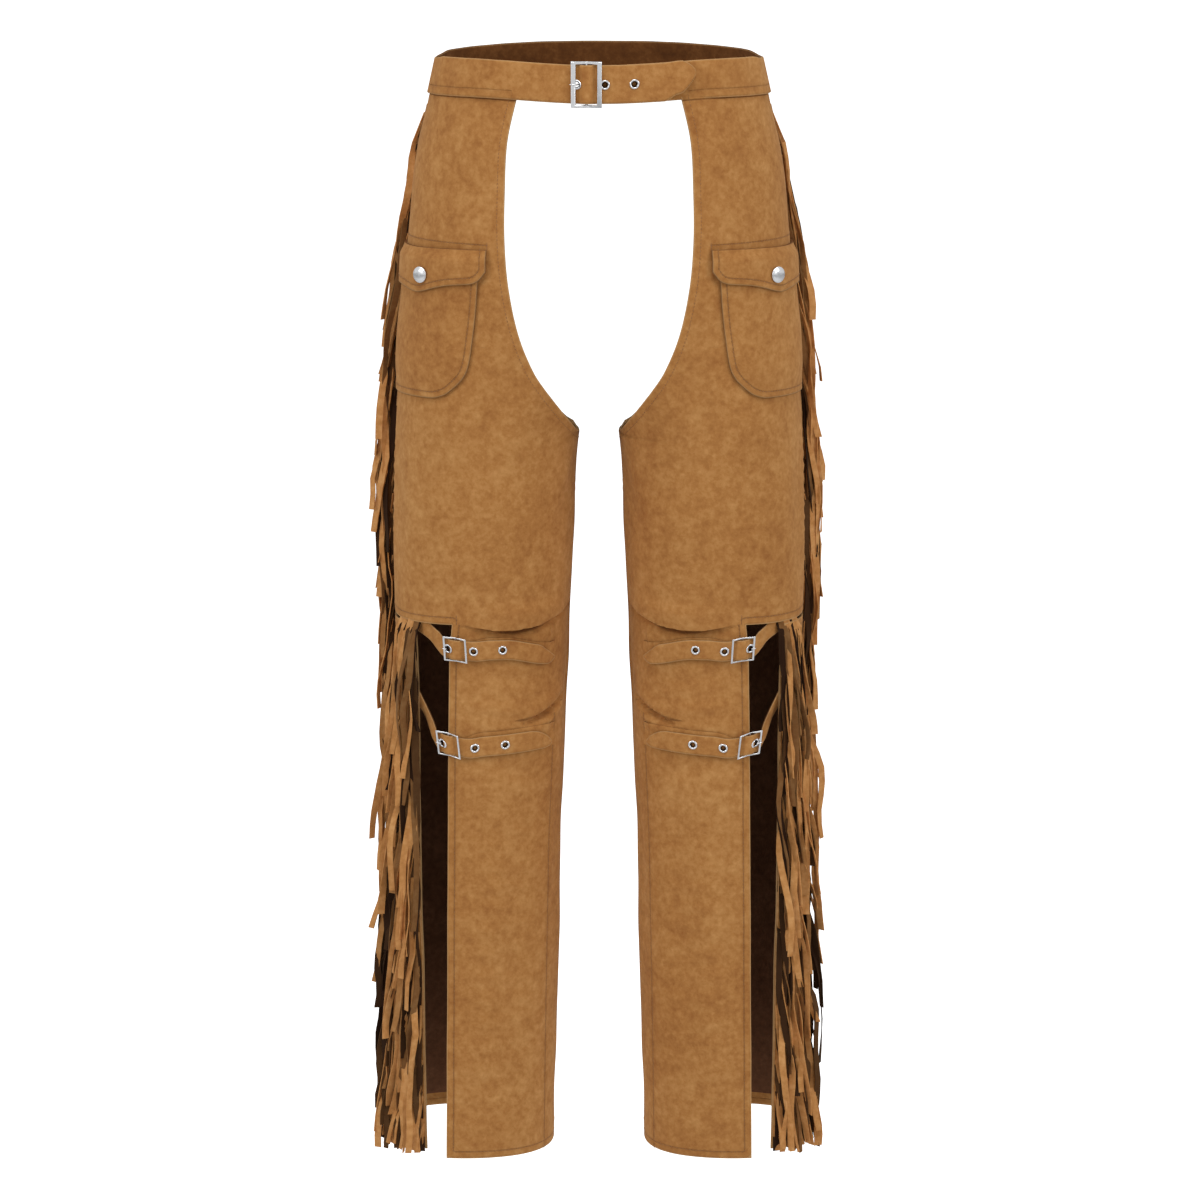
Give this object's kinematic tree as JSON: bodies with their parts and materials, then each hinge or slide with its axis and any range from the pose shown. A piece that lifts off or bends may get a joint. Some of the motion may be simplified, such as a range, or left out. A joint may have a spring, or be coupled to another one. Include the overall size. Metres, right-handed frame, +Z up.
{
  "type": "fringed suede chaps",
  "caption": "Open-seated suede chaps filled out as worn, with belt, pocketed thighs, outer-seam fringe and two buckled straps over a slit below each knee.",
  "frame": {"origin": "centre of the waist opening, level with the waistband's top edge at the sides", "axes": "+Z up along the legs to the waist, -Y the front, +X the side the belt's tongue points to"},
  "size_m": [0.422, 0.2191, 1.03],
  "materials": {
    "suede": "tan brushed suede, matt, with a short nap",
    "bright_metal": "bright nickel plate"
  },
  "bodies": {
    "root": {"back_panel_left": "suede", "back_panel_right": "suede", "belt_buckle": "bright_metal", "belt_eyelet_1": "bright_metal", "belt_eyelet_2": "bright_metal", "belt_eyelet_3": "bright_metal", "belt_prong": "bright_metal", "belt_tab": "suede", "buckle_lower_left": "bright_metal", "buckle_lower_right": "bright_metal", "buckle_upper_left": "bright_metal", "buckle_upper_right": "bright_metal", "eyelet_lower_left_1": "bright_metal", "eyelet_lower_left_2": "bright_metal", "eyelet_lower_left_3": "bright_metal", "eyelet_lower_right_1": "bright_metal", "eyelet_lower_right_2": "bright_metal", "eyelet_lower_right_3": "bright_metal", "eyelet_upper_left_1": "bright_metal", "eyelet_upper_left_2": "bright_metal", "eyelet_upper_left_3": "bright_metal", "eyelet_upper_right_1": "bright_metal", "eyelet_upper_right_2": "bright_metal", "eyelet_upper_right_3": "bright_metal", "flap_left": "suede", "flap_right": "suede", "fringe_shin_left": "suede", "fringe_shin_right": "suede", "fringe_thigh_left": "suede", "fringe_thigh_right": "suede", "front_panel_left": "suede", "front_panel_right": "suede", "pocket_left": "suede", "pocket_right": "suede", "prong_lower_left": "bright_metal", "prong_lower_right": "bright_metal", "prong_upper_left": "bright_metal", "prong_upper_right": "bright_metal", "snap_left": "bright_metal", "snap_right": "bright_metal", "strap_lower_left": "suede", "strap_lower_right": "suede", "strap_upper_left": "suede", "strap_upper_right": "suede", "tab_lower_left": "suede", "tab_lower_right": "suede", "tab_upper_left": "suede", "tab_upper_right": "suede", "waistband": "suede"}
  },
  "joints": []
}
